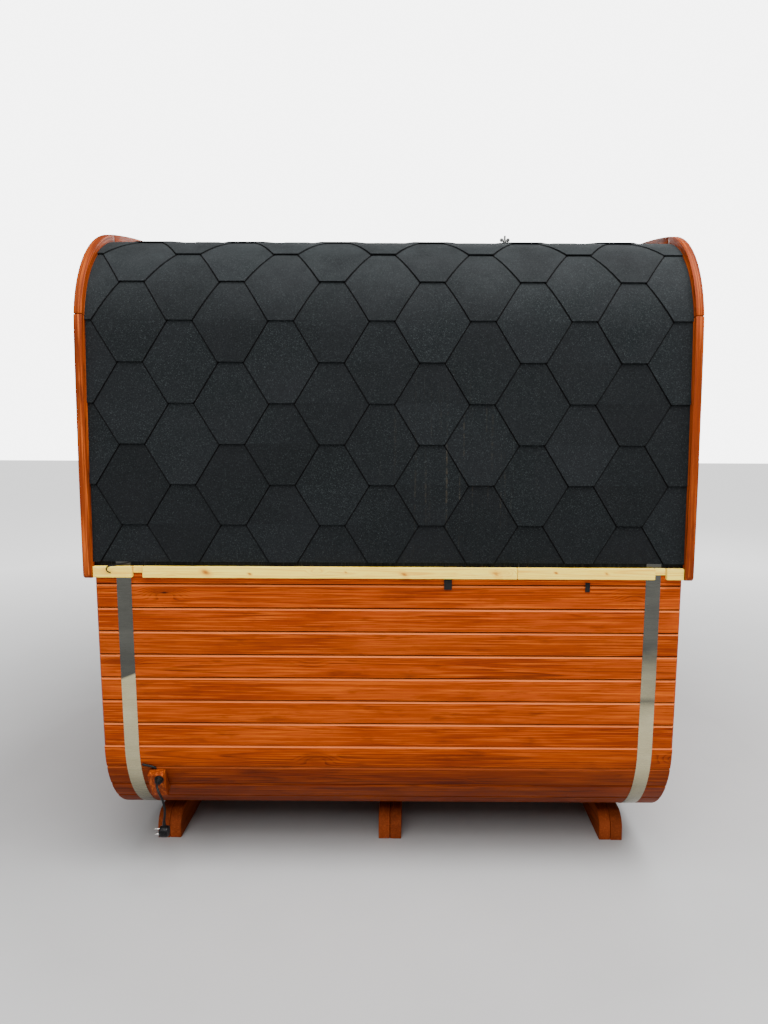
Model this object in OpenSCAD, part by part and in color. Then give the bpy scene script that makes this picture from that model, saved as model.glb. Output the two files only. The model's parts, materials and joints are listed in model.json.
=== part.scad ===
// Garden sauna built as a rounded-square barrel: staves held by two steel bands,
// a shingled roof that runs down to mid-height, and three cradle feet.
// X runs along the barrel, +Y points to the far side, +Z up, origin on the ground at the centre.

/* [Barrel] */
// Length of the staves
body_len = 2000; // [1500:10:3000]
// Width over the staves at mid-height
body_w = 2276; // [1900:4:2800]
// Height over the staves on the centre line
body_h = 2280; // [1900:4:2800]
// Radius of the slightly bowed side walls
side_r = 19600; // [12000:100:40000]
// Radius of the cambered roof and floor
roof_r = 4200; // [3300:50:9000]
// Outer radius of the four rounded corners
corner_r = 356; // [250:2:440]
// Thickness of the staves
stave_t = 42; // [28:1:60]
// Angle off the horizontal of the joints between a side wall and its corners
bend_joint = 8.4; // [4:0.2:20]

/* [End walls] */
// Thickness of the end walls
end_wall_t = 42; // [28:1:60]
// Set-back of the end walls from the stave ends
end_wall_inset = 79; // [30:1:160]

/* [Door] */
// Width of the doorway in the end wall
doorway_w = 700; // [560:5:900]
// Height of the doorway in the end wall
doorway_h = 1830; // [1600:5:1950]
// Height of the doorway above the floor on the centre line
doorway_sill = 90; // [60:5:150]
// Face width of the door frame boards
frame_w = 40; // [25:1:70]
// How far the frame stands proud of the end wall on each side
frame_proud = 14; // [5:1:25]
// Gap around the door leaf
door_gap = 3; // [2:0.5:5]
// Thickness of the door leaf
leaf_t = 42; // [30:1:60]
// Width of the glazed light in the leaf
light_w = 260; // [150:5:400]
// Height of the glazed light in the leaf
light_h = 460; // [200:5:700]
// Height of the middle of the light above the foot of the leaf
light_z = 1240; // [1000:5:1300]
// Thickness of the glass
glass_t = 8; // [4:1:12]
// Height of the door handle's middle above the foot of the leaf
handle_z = 820; // [700:5:950]
// Length of the handle bars
handle_len = 260; // [150:5:400]
// Side of the square handle bars
handle_t = 28; // [18:1:36]
// Clear space behind a handle bar
handle_reach = 26; // [20:1:30]
// Height of a hinge plate
hinge_h = 90; // [50:5:140]
// Distance of the outer hinges from the ends of the leaf
hinge_inset = 180; // [100:5:300]

/* [Steel bands] */
// Width of a band
band_w = 50; // [20:1:80]
// Thickness of a band
band_t = 1; // [0.6:0.1:1.5]
// Distance of a band's middle from the stave ends
band_inset = 98; // [50:1:200]

/* [Roofing] */
// Thickness of the shingle covering
roofing_t = 5; // [3:0.5:8]
// How far the shingles reach below mid-height
eaves_drop = 58; // [0:1:200]

/* [Eaves batten] */
// Height of the batten
batten_h = 38; // [20:1:60]
// Thickness of the batten
batten_t = 20; // [12:1:30]
// Thickness of the short filler pieces
filler_t = 9; // [6:1:12]
// Gap between the shingles and the batten
batten_gap = 15; // [5:1:40]
// Joint between two pieces of batten
batten_joint = 1.5; // [1.2:0.1:4]

/* [Fascia] */
// Thickness of the fascia boards
fascia_t = 28; // [18:1:40]
// Width of the fascia boards
fascia_w = 96; // [80:1:140]
// How far the fascia stands proud of the staves
fascia_proud = 31; // [15:1:50]
// How far the fascia reaches below mid-height
fascia_drop = 114; // [60:1:300]
// Radius on the outer corner of the fascia's lower end
fascia_end_r = 17; // [5:1:30]

/* [Feet] */
// Width of a foot
foot_w = 90; // [60:1:140]
// Height of a foot at its ends
foot_h = 105; // [80:1:160]
// How deep the barrel sits in the cradles
cradle_depth = 27; // [10:1:45]
// Set-back of a foot's end from the side wall
foot_inset = 280; // [150:5:400]
// Distance between the middles of two feet
foot_pitch = 870; // [600:5:880]
// Radius on the upper ends of a foot
foot_end_r = 64; // [20:1:70]

/* [Cable] */
// Place along the barrel of the cable gland
gland_x = -806; // [-840:1:0]
// Angle of the gland below the horizontal
gland_angle = 19.5; // [15:0.5:40]
// Diameter of the cable gland
gland_d = 32; // [24:1:50]
// How far the gland stands out of its block
gland_len = 20; // [15:1:50]
// Thickness of the wooden block that carries the gland
block_t = 34; // [20:1:45]
// Diameter of the power cord
cord_d = 8; // [6:0.5:12]
// Diameter of the thin wire at the eaves
wire_d = 4; // [2:0.5:4]

/* [Hidden] */
$fn = 128;
// Facets of a whole circle on the large arcs, so that a facet stays within 0.1 mm of the arc
large_fn = 1440;
big = 6000;
seat_gap = 0.3;

half_len = body_len / 2;
half_w = body_w / 2;
half_h = body_h / 2;
mid_z = foot_h - cradle_depth + half_h;

// Centres of the near side arc and of the roof arc, as [y, z] from the barrel's middle
side_c = [side_r - half_w, 0];
roof_c = [0, half_h - roof_r];
// Centre of the upper near corner, from the two circles it touches on the inside
to_roof = roof_c - side_c;
span = norm(to_roof);
reach_side = side_r - corner_r;
reach_roof = roof_r - corner_r;
along = (reach_side ^ 2 - reach_roof ^ 2 + span ^ 2) / (2 * span);
across = sqrt(reach_side ^ 2 - along ^ 2);
corner_c = side_c + to_roof / span * along
    + [to_roof[1], -to_roof[0]] / span * across;
// Angles above the horizontal at which the arcs meet
side_end = asin((corner_c[1] - side_c[1]) / reach_side);
roof_start = asin((corner_c[1] - roof_c[1]) / reach_roof);

// The near half of the outline, bottom to top: centre, radius, first and last angle
ARCS = [
    [[0, -roof_c[1]], roof_r, roof_start - 180, -roof_start],
    [[corner_c[0], -corner_c[1]], corner_r, -roof_start, -side_end],
    [side_c, side_r, -side_end, side_end],
    [corner_c, corner_r, side_end, roof_start],
    [roof_c, roof_r, roof_start, 180 - roof_start],
];

band_x = half_len - band_inset;
wall_out = half_len - end_wall_inset;
wall_in = wall_out - end_wall_t;
eaves_angle = -asin(eaves_drop / side_r);
fascia_in = fascia_proud - fascia_w;
batten_top = -eaves_drop - batten_gap;

floor_z = mid_z - half_h + stave_t;
doorway_z = floor_z + doorway_sill;
leaf_w = doorway_w - 2 * (frame_w + door_gap);
leaf_h = doorway_h - 2 * (frame_w + door_gap);
leaf_z = doorway_z + frame_w + door_gap;
leaf_out = wall_out + frame_proud;
trim_w = 30;
trim_t = 10;
hinge_t = 3;
hinge_plate = 30;
hinge_knuckle = 12;
handle_foot = 40;

// Lengths of the batten pieces, from the left: start, end, thickness
left_filler = [133 - half_len, 168 - half_len];
right_filler = [half_len - 97, half_len - 59];
batten_split = 437;
BATTEN = [
    [-half_len, left_filler[0], batten_t],
    [left_filler[0], left_filler[1], filler_t],
    [left_filler[1], batten_split, batten_t],
    [batten_split, right_filler[0], batten_t],
    [right_filler[0], right_filler[1], filler_t],
    [right_filler[1], half_len, batten_t],
];

block_w = 56;
// Angles that the block reaches above and below the gland
block_up = 2.6;
block_down = 13.5;
plug_d = 40;
plug_len = 30;
sleeve_len = 20;
bolt_x = 428;
bolt_y = -700;

// A point off the near wall: along the barrel, angle above the horizontal, height off the staves
function arc_at(angle) = [for (a = ARCS) if (angle >= a[2] && angle <= a[3]) a][0];
function wall_point(x, angle, off) =
    let (a = arc_at(angle), r = a[1] + off)
    [x, a[0][0] - r * cos(angle), mid_z + a[0][1] + r * sin(angle)];

// The cord's route from the outer end of the gland, down to the plug
gland_end = wall_point(gland_x, -gland_angle, block_t + gland_len);
CORD = [
    [0, 0, 0], [1, -8.4, -3.2], [3.5, -15, -7.4], [7, -20.2, -12.6], [11, -24.4, -19], [15.5, -27, -26],
    [20, -28.6, -34], [24, -29, -43], [27, -29, -53], [29.5, -29, -63], [31, -29, -73], [32, -29, -83],
    [32, -29, -93], [31, -29, -103], [29.5, -29, -113], [28, -29, -123],
];
plug_top = gland_end + CORD[len(CORD) - 1];

// The feed cable lies on the wall from the left band to the top of the block: along the barrel from the gland,
// and angle above the gland
FEED = [for (s = [[-64.5, 6], [-54, 5.4], [-44, 5], [-35, 4.6], [-27, 4.1], [-21, 3.5], [-18.5, 2.85]])
    wall_point(gland_x + s[0], s[1] - gland_angle, cord_d / 2 + seat_gap)];

// The thin wire comes out under the shingles and hooks over the batten
WIRE = [
    [-878, -5, -60.3], [-892, -6, -64], [-908, -8, -67.5], [-926, -13, -70.2], [-938, -18, -70.5],
    [-946, -22.2, -72], [-951, -22.6, -78], [-951, -22.6, -84.5], [-946, -22.6, -90], [-937, -22.6, -93.5],
];

// Lays a [y, z] drawing across the barrel and extrudes it from x0 to x1
module lengthwise(x0, x1) {
    translate([x0, 0, mid_z]) rotate([90, 0, 90]) linear_extrude(x1 - x0) children();
}

// The part of an arc's wedge between two angles above the horizontal, on the near side
module wedge(centre, a0, a1) {
    translate(centre) polygon([
        [0, 0],
        for (i = [0:2]) let (t = a0 + (a1 - a0) * i / 2) big * 8 * [-cos(t), sin(t)],
    ]);
}

// A disc with enough facets for its size
module round_disc(r) {
    circle(r, $fn = r > 1000 ? large_fn : $fn);
}

// A strip that follows the outline from angle a0 to a1, between two offsets from the staves' face
module strip(a0, a1, inner, outer) {
    for (a = ARCS) {
        lo = max(a0, a[2]);
        hi = min(a1, a[3]);
        if (hi - lo > 1e-6) intersection() {
            translate(a[0]) difference() {
                round_disc(a[1] + outer);
                round_disc(a[1] + inner);
            }
            wedge(a[0], lo, hi);
        }
    }
}

// The whole outline at an offset from the staves' face, filled
module outline(off) {
    difference() {
        intersection() {
            translate(side_c) round_disc(side_r + off);
            translate(-side_c) round_disc(side_r + off);
            translate(roof_c) round_disc(roof_r + off);
            translate(-roof_c) round_disc(roof_r + off);
        }
        for (y = [1, -1], z = [1, -1]) scale([y, z]) difference() {
            wedge(corner_c, side_end, roof_start);
            translate(corner_c) round_disc(corner_r + off);
        }
    }
}

module far() {
    mirror([0, 1, 0]) children();
}

module staves(a0, a1) {
    color([0.68, 0.30, 0.08]) lengthwise(-half_len, half_len) strip(a0, a1, -stave_t, 0);
}

module roofing(a0, a1) {
    color([0.12, 0.14, 0.15]) lengthwise(-half_len, half_len)
        strip(a0, a1, band_t, band_t + roofing_t);
}

module end_wall(x0, x1) {
    color([0.68, 0.30, 0.08]) lengthwise(x0, x1) intersection() {
        outline(-stave_t);
        children();
    }
}

// A [y, z] rectangle given by its limits, with z measured from the ground
module field(y0, y1, z0, z1) {
    translate([y0, z0 - mid_z]) square([y1 - y0, z1 - z0]);
}

module back_end_wall() {
    end_wall(-wall_out, -wall_in) field(-big, big, -big, big);
}

module door_wall_near() {
    end_wall(wall_in, wall_out) field(-big, -doorway_w / 2, -big, big);
}

module door_wall_far() {
    end_wall(wall_in, wall_out) field(doorway_w / 2, big, -big, big);
}

module door_wall_head() {
    end_wall(wall_in, wall_out)
        field(-doorway_w / 2, doorway_w / 2, doorway_z + doorway_h, big);
}

module door_wall_sill() {
    end_wall(wall_in, wall_out) field(-doorway_w / 2, doorway_w / 2, -big, doorway_z);
}

module door_frame() {
    color([0.60, 0.25, 0.07]) lengthwise(wall_in - frame_proud, leaf_out) difference() {
        field(-doorway_w / 2, doorway_w / 2, doorway_z, doorway_z + doorway_h);
        field(frame_w - doorway_w / 2, doorway_w / 2 - frame_w,
            doorway_z + frame_w, doorway_z + doorway_h - frame_w);
    }
}

module light_field(grow) {
    field(-light_w / 2 - grow, light_w / 2 + grow,
        leaf_z + light_z - light_h / 2 - grow, leaf_z + light_z + light_h / 2 + grow);
}

module door_leaf() {
    color([0.70, 0.33, 0.10]) {
        lengthwise(leaf_out - leaf_t, leaf_out) difference() {
            field(-leaf_w / 2, leaf_w / 2, leaf_z, leaf_z + leaf_h);
            light_field(0);
        }
        lengthwise(leaf_out, leaf_out + trim_t) difference() {
            light_field(trim_w);
            light_field(0);
        }
    }
}

module door_glass() {
    middle = leaf_out - leaf_t / 2;
    color([0.55, 0.65, 0.66, 0.5]) lengthwise(middle - glass_t / 2, middle + glass_t / 2)
        light_field(0);
}

// A bar on two feet, standing off the face at x, towards side s
module handle(x, s) {
    z0 = leaf_z + handle_z - handle_len / 2;
    y0 = 60 - leaf_w / 2;
    bar_x = s > 0 ? x + handle_reach : x - handle_reach - handle_t;
    foot_x = s > 0 ? x : x - handle_reach;
    translate([bar_x, y0, z0]) cube([handle_t, handle_t, handle_len]);
    for (z = [z0 + handle_foot / 2, z0 + handle_len - handle_foot * 1.5])
        translate([foot_x, y0, z]) cube([handle_reach, handle_t, handle_foot]);
}

module door_handles() {
    color([0.80, 0.60, 0.36]) {
        handle(leaf_out, 1);
        handle(leaf_out - leaf_t, -1);
    }
}

module door_hinges() {
    edge = leaf_w / 2 + door_gap / 2;
    for (z = [hinge_inset, leaf_h / 2, leaf_h - hinge_inset])
        color([0.10, 0.10, 0.10]) translate([leaf_out, edge, leaf_z + z - hinge_h / 2]) {
            translate([0, -hinge_plate, 0]) cube([hinge_t, 2 * hinge_plate, hinge_h]);
            translate([hinge_knuckle / 2, 0, 0]) cylinder(d = hinge_knuckle, h = hinge_h);
        }
}

module steel_band(x) {
    color([0.72, 0.73, 0.70]) {
        lengthwise(x - band_w / 2, x + band_w / 2) {
            strip(roof_start - 180, 180 - roof_start, 0, band_t);
            mirror([1, 0]) strip(-roof_start, roof_start, 0, band_t);
        }
    }
}

// The batten's pieces lie on the wall, rebated where they cross the bands
module batten() {
    color([0.86, 0.72, 0.48]) for (piece = BATTEN)
        translate([0, 0, mid_z + batten_top - batten_h]) difference() {
            translate([piece[0] + batten_joint / 2, -half_w - piece[2], 0])
                cube([piece[1] - piece[0] - batten_joint, piece[2], batten_h]);
            for (s = [1, -1])
                translate([s * band_x - band_w / 2 - 1, -half_w - band_t - seat_gap, -1])
                    cube([band_w + 2, big, batten_h + 2]);
        }
}

// The fascia between two angles, on the near side of the left end
module fascia(a0, a1) {
    lengthwise(-half_len - fascia_t, -half_len) strip(a0, a1, fascia_in, fascia_proud);
}

// The straight lower piece of fascia, with its outer corner rounded
module fascia_post() {
    corner = [-half_w - fascia_proud, -fascia_drop];
    color([0.62, 0.24, 0.06]) lengthwise(-half_len - fascia_t, -half_len) difference() {
        strip(-asin(fascia_drop / side_r), bend_joint, fascia_in, fascia_proud);
        translate(corner - [1, 1]) difference() {
            square(fascia_end_r + 1);
            translate([1, 1] * (fascia_end_r + 1)) circle(fascia_end_r);
        }
    }
}

module fascia_bend() {
    color([0.62, 0.24, 0.06]) fascia(bend_joint, roof_start);
}

module fascia_top() {
    color([0.62, 0.24, 0.06]) fascia(roof_start, 180 - roof_start);
}

module right() {
    mirror([1, 0, 0]) children();
}

// Rectangle with both upper corners rounded, centred on y
module foot_side(w, h, r) {
    difference() {
        translate([-w / 2, 0]) square([w, h]);
        for (s = [1, -1]) scale([s, 1]) translate([w / 2 - r, h - r]) difference() {
            square(r + 1);
            circle(r);
        }
    }
}

module foot(x) {
    color([0.55, 0.24, 0.10]) difference() {
        translate([x - foot_w / 2, 0, 0]) rotate([90, 0, 90]) linear_extrude(foot_w) difference() {
            foot_side(body_w - 2 * foot_inset, foot_h, foot_end_r);
            translate([0, mid_z - roof_c[1]]) round_disc(roof_r);
        }
        for (s = [1, -1])
            translate([s * band_x - band_w / 2 - 1, 0, mid_z - roof_c[1]])
                rotate([90, 0, 90]) linear_extrude(band_w + 2) round_disc(roof_r + band_t + seat_gap);
    }
}

// Wooden block that follows the curve of the lower corner, with the gland at its right edge
module cable_block() {
    x1 = gland_x + gland_d / 2;
    color([0.74, 0.36, 0.12]) lengthwise(x1 - block_w, x1)
        strip(-gland_angle - block_down, -gland_angle + block_up, 0, block_t);
}

// Turns +Z to the wall's outward direction at an angle below the horizontal
module out_of_wall(x, angle) {
    translate(wall_point(x, -angle, 0)) rotate([90 + angle, 0, 0]) children();
}

module cable_gland() {
    color([0.05, 0.05, 0.05]) out_of_wall(gland_x, gland_angle) {
        translate([0, 0, block_t]) cylinder(d = gland_d, h = gland_len * 0.55);
        translate([0, 0, block_t]) cylinder(d = gland_d * 0.6, h = gland_len);
    }
}

// A round tube along a list of points; ref is a direction the route never takes
function along_route(p, i) = let (n = len(p) - 1)
    i == 0 ? p[1] - p[0] : i == n ? p[n] - p[n - 1] : p[i + 1] - p[i - 1];
function unit(v) = v / norm(v);

module tube(points, d, ref, sides = 10) {
    n = len(points);
    rings = [for (i = [0:n - 1])
        let (t = unit(along_route(points, i)), u = unit(cross(t, ref)), v = cross(t, u))
        for (k = [0:sides - 1]) points[i] + d / 2 * (u * cos(360 * k / sides) + v * sin(360 * k / sides))];
    sidewalls = [for (i = [0:n - 2], k = [0:sides - 1]) let (m = (k + 1) % sides)
        [i * sides + k, i * sides + m, (i + 1) * sides + m, (i + 1) * sides + k]];
    first = [for (k = [sides - 1:-1:0]) k];
    last = [for (k = [0:sides - 1]) (n - 1) * sides + k];
    polyhedron(rings, concat(sidewalls, [first, last]));
}

module feed_cable() {
    color([0.05, 0.05, 0.05]) tube(FEED, cord_d, [0, 1, 0.4]);
}

module power_cord() {
    color([0.05, 0.05, 0.05]) tube([for (p = CORD) gland_end + p], cord_d, [1, 0, 0]);
}

// Round plug with its pins to the left and the cord's sleeve on top
module plug() {
    z = plug_top[2] - sleeve_len - plug_d / 2 + 2;
    translate([plug_top[0], plug_top[1], z]) {
        color([0.06, 0.06, 0.06]) {
            rotate([0, 90, 0]) cylinder(d = plug_d, h = plug_len, center = true);
            cylinder(d = 13, h = plug_d / 2 + sleeve_len - 2);
        }
        color([0.75, 0.75, 0.72]) for (s = [1, -1])
            translate([-plug_len / 2 - 18, 0, s * 9.5]) rotate([0, 90, 0]) cylinder(d = 4.8, h = 19);
    }
}

module eaves_wire() {
    color([0.05, 0.05, 0.05]) tube([for (p = WIRE) [p[0], p[1] - half_w, p[2] + mid_z]],
        wire_d, [0, 1, 0], 8);
}

module wall_clips() {
    top = mid_z + batten_top - batten_h;
    color([0.06, 0.06, 0.06]) {
        translate([190, -half_w - 7, top - 39]) cube([27, 7, 38.5]);
        translate([671, -half_w - 4, top - 46]) cube([16, 4, 32]);
    }
}

// Stud, washer and wing nut through the roofing
module roof_bolt() {
    angle = acos(bolt_y / roof_r);
    color([0.60, 0.61, 0.60])
        translate(wall_point(bolt_x, 180 - angle, band_t + roofing_t)) rotate([angle - 90, 0, 0]) {
            cylinder(d = 30, h = 5);
            cylinder(d = 8, h = 34);
            cylinder(d = 15, h = 17);
            for (s = [1, -1])
                translate([s * 12, 0, 18]) rotate([90, 0, 0]) cylinder(d = 14, h = 4, center = true);
        }
}

staves(-bend_joint, bend_joint);  // near_wall
far() staves(-bend_joint, bend_joint);  // far_wall
staves(roof_start, 180 - roof_start);  // ceiling
staves(roof_start - 180, -roof_start);  // floor
staves(bend_joint, roof_start);  // upper_near_corner
far() staves(bend_joint, roof_start);  // upper_far_corner
staves(-roof_start, -bend_joint);  // lower_near_corner
far() staves(-roof_start, -bend_joint);  // lower_far_corner
back_end_wall();
door_wall_near();
door_wall_far();
door_wall_head();
door_wall_sill();
door_frame();
door_leaf();
door_glass();
door_handles();
door_hinges();
steel_band(-band_x);  // steel_band_left
steel_band(band_x);  // steel_band_right
roofing(eaves_angle, bend_joint);  // roof_near_slope
roofing(bend_joint, roof_start);  // roof_near_bend
roofing(roof_start, 180 - roof_start);  // roof_top
far() roofing(bend_joint, roof_start);  // roof_far_bend
far() roofing(eaves_angle, bend_joint);  // roof_far_slope
batten();  // near_batten
far() batten();  // far_batten
fascia_post();  // fascia_left_near_post
fascia_bend();  // fascia_left_near_bend
fascia_top();  // fascia_left_top
far() fascia_bend();  // fascia_left_far_bend
far() fascia_post();  // fascia_left_far_post
right() fascia_post();  // fascia_right_near_post
right() fascia_bend();  // fascia_right_near_bend
right() fascia_top();  // fascia_right_top
right() far() fascia_bend();  // fascia_right_far_bend
right() far() fascia_post();  // fascia_right_far_post
foot(-foot_pitch);  // foot_left
foot(0);  // foot_middle
foot(foot_pitch);  // foot_right
cable_block();
cable_gland();
feed_cable();
power_cord();
plug();
eaves_wire();
wall_clips();
roof_bolt();
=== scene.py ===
"""Square barrel sauna: the looks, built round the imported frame.

Lengths are metres. A flat piece is modelled with x along the barrel, y along the barrel's outline and z as the
height off the staves' outer face, and `wrap` then lays it round the outline. The outline's length starts at 0 at
mid-height on the near side and grows upwards, over the roof, down the far side and back under the floor.
"""
import json
import math
import random

import bpy
import numpy as np
from mathutils import Matrix, Vector

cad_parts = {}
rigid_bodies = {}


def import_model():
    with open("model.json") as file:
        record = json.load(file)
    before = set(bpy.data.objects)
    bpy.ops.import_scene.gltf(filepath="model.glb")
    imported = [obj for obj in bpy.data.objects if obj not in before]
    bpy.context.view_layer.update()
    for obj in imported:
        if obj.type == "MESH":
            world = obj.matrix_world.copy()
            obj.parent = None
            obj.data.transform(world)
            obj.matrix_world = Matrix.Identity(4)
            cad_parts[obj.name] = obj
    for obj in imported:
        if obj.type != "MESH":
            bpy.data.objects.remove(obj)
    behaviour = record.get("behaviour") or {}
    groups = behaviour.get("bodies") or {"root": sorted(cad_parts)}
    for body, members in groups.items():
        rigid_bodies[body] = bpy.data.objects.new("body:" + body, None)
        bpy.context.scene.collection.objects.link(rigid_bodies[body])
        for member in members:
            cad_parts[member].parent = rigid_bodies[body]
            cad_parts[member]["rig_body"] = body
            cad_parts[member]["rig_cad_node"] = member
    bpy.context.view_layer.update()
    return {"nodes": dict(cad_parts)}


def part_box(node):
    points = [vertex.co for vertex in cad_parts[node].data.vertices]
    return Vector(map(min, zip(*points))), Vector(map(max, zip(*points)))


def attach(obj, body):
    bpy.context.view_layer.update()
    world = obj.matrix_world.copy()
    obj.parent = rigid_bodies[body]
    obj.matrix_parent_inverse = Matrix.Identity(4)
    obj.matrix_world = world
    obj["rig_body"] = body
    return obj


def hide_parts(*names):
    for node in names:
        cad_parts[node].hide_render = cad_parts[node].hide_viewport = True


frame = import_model()
NODES = frame["nodes"]
draw = random.Random(7)
MM = 0.001

# ---------------------------------------------------------------- the barrel's outline

near_lo, near_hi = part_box("near_wall")
HALF_LEN = near_hi.x
HALF_W = -near_lo.y
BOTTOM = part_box("floor")[0].z
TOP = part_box("ceiling")[1].z
HALF_H = (TOP - BOTTOM) / 2
MID_Z = (TOP + BOTTOM) / 2
SIDE_R = 19.6
ROOF_R = 4.2
CORNER_R = 0.356
STAVE_T = 0.042

SIDE_C = np.array([SIDE_R - HALF_W, 0.0])
ROOF_C = np.array([0.0, HALF_H - ROOF_R])
to_roof = ROOF_C - SIDE_C
span = float(np.hypot(*to_roof))
along = ((SIDE_R - CORNER_R) ** 2 - (ROOF_R - CORNER_R) ** 2 + span ** 2) / (2 * span)
across = math.sqrt((SIDE_R - CORNER_R) ** 2 - along ** 2)
CORNER_C = SIDE_C + to_roof / span * along + np.array([to_roof[1], -to_roof[0]]) / span * across
SIDE_END = math.asin(CORNER_C[1] / (SIDE_R - CORNER_R))
ROOF_START = math.asin((CORNER_C[1] - ROOF_C[1]) / (ROOF_R - CORNER_R))
# Lengths along the outline at which the side meets the corner, the corner meets the roof, and at the crest
S_SIDE = SIDE_R * SIDE_END
S_CORNER = S_SIDE + CORNER_R * (ROOF_START - SIDE_END)
S_CREST = S_CORNER + ROOF_R * (math.pi / 2 - ROOF_START)
BEND_JOINT_ANGLE = math.radians(8.4)
BEND_JOINT = S_SIDE + CORNER_R * (BEND_JOINT_ANGLE - SIDE_END)


def on_outline(s, off):
    """Y, Z of points at length s along the outline and height off above the staves' face."""
    s = (np.asarray(s, float) + S_CREST) % (4 * S_CREST) - S_CREST
    far = s > S_CREST
    s = np.where(far, 2 * S_CREST - s, s)
    low = s < 0
    t = np.abs(s)
    side = t / SIDE_R
    corner = SIDE_END + (t - S_SIDE) / CORNER_R
    roof = ROOF_START + (t - S_CORNER) / ROOF_R
    zones = [t <= S_SIDE, t <= S_CORNER]
    angle = np.select(zones, [side, corner], roof)
    radius = np.select(zones, [SIDE_R + 0 * t, CORNER_R + 0 * t], ROOF_R) + off
    cy = np.select(zones, [SIDE_C[0] + 0 * t, CORNER_C[0] + 0 * t], ROOF_C[0])
    cz = np.select(zones, [SIDE_C[1] + 0 * t, CORNER_C[1] + 0 * t], ROOF_C[1])
    y = cy - radius * np.cos(angle)
    z = cz + radius * np.sin(angle)
    return np.where(far, -y, y), MID_Z + np.where(low, -z, z)


def height_s(z):
    """The length along the near side's outline at a height above the middle of the barrel."""
    return SIDE_R * math.asin(z / SIDE_R)


# Hexagonal shingles: distance between tabs, height of a course that shows, width of a tab at its foot and one
# course up, thickness, and along the outline where the covering ends and where the lowest whole tabs end
PITCH = 0.3333
EXPOSURE = 0.135
FLAT = 0.084
WIDE = 0.249
SHEET_T = 0.0028
EAVES_S = height_s(-0.058)
TAB_X = -0.022
FIRST_FOOT = height_s(0.071) - EXPOSURE


# ---------------------------------------------------------------- modelling helpers

def deselect():
    for o in bpy.context.selected_objects:
        o.select_set(False)


def active(o):
    deselect()
    o.select_set(True)
    bpy.context.view_layer.objects.active = o
    return o


def edit(mode="FACE"):
    bpy.ops.object.mode_set(mode="EDIT")
    bpy.ops.mesh.select_mode(type=mode)


def done():
    bpy.ops.object.mode_set(mode="OBJECT")


def coords(o):
    co = np.empty(len(o.data.vertices) * 3)
    o.data.vertices.foreach_get("co", co)
    return co.reshape(-1, 3)


def set_coords(o, co):
    o.data.vertices.foreach_set("co", np.asarray(co, np.float32).ravel())
    o.data.update()


def pick(o, kind, test):
    """In object mode, selects the vertices, edges or faces whose vertices all pass the test."""
    good = np.array([bool(test(p)) for p in coords(o)])
    me = o.data
    for items in (me.vertices, me.edges, me.polygons):
        items.foreach_set("select", np.zeros(len(items), bool))
    if kind == "VERT":
        me.vertices.foreach_set("select", good)
    else:
        items = me.edges if kind == "EDGE" else me.polygons
        items.foreach_set("select", np.array([all(good[v] for v in i.vertices) for i in items]))
        if kind == "EDGE":
            me.vertices.foreach_set("select", good)


def tube_solid(name, radius, depth, at=(0, 0, 0), turn=(0, 0, 0), sides=32):
    bpy.ops.mesh.primitive_cylinder_add(radius=radius, depth=depth, location=at, rotation=turn, vertices=sides)
    o = bpy.context.active_object
    o.name = name
    active(o)
    bpy.ops.object.transform_apply(location=True, rotation=True, scale=True)
    return o


def bevel_all(o, width, segments=2, angle=35):
    active(o)
    m = o.modifiers.new("bevel", "BEVEL")
    m.width = width
    m.segments = segments
    m.limit_method = "ANGLE"
    m.angle_limit = math.radians(angle)
    bpy.ops.object.modifier_apply(modifier=m.name)
    return o


def smooth(o, angle=30):
    active(o)
    bpy.ops.object.shade_smooth_by_angle(angle=math.radians(angle))
    return o


def cut(o, point, normal, keep_below=True):
    """Cuts a mesh with a plane and closes it, keeping what lies behind the normal, or else what lies before it."""
    active(o)
    edit()
    bpy.ops.mesh.select_all(action="SELECT")
    bpy.ops.mesh.bisect(plane_co=point, plane_no=normal, use_fill=True,
                        clear_outer=keep_below, clear_inner=not keep_below)
    done()
    return o


def flip_faces(o):
    """Turns a mirrored mesh's faces round so that they point outwards again."""
    active(o)
    edit()
    bpy.ops.mesh.select_all(action="SELECT")
    bpy.ops.mesh.flip_normals()
    done()


def flat_board(name, length, width, thick, rows=1, groove=0.0052, edge=0.0010):
    """A board lying flat, centred on x and y with its outer face at z = 0: a strip extruded in rows, its two
    long outer edges chamfered into half a V-groove and all its other edges eased."""
    bpy.ops.mesh.primitive_plane_add(size=1, location=(0, -width / 2, -thick / 2), rotation=(math.pi / 2, 0, 0))
    o = bpy.context.active_object
    o.name = name
    o.scale = (length, thick, 1)
    active(o)
    bpy.ops.object.transform_apply(location=True, rotation=True, scale=True)
    edit()
    bpy.ops.mesh.select_all(action="SELECT")
    for _ in range(rows):
        bpy.ops.mesh.extrude_region_move(TRANSFORM_OT_translate={"value": (0, width / rows, 0)})
    done()
    # the plane's first face stays behind as the near long side; the shell is closed
    edit()
    bpy.ops.mesh.select_all(action="SELECT")
    bpy.ops.mesh.normals_make_consistent(inside=False)
    done()
    if groove:
        pick(o, "EDGE", lambda p: p[2] > -1e-6 and abs(abs(p[1]) - width / 2) < 1e-6)
        edit("EDGE")
        bpy.ops.mesh.bevel(offset=groove, offset_type="OFFSET", segments=1, affect="EDGES")
        done()
    if edge:
        bevel_all(o, edge, 1, 60)
    return o


def copy_of(o, name):
    c = o.copy()
    c.data = o.data.copy()
    c.name = name
    bpy.context.scene.collection.objects.link(c)
    return c


def set_vector(o, name, values):
    a = o.data.attributes.get(name) or o.data.attributes.new(name, "FLOAT_VECTOR", "POINT")
    a.data.foreach_set("vector", np.asarray(values, np.float32).ravel())


def set_float(o, name, values):
    a = o.data.attributes.get(name) or o.data.attributes.new(name, "FLOAT", "POINT")
    a.data.foreach_set("value", np.asarray(values, np.float32).ravel())


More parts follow.
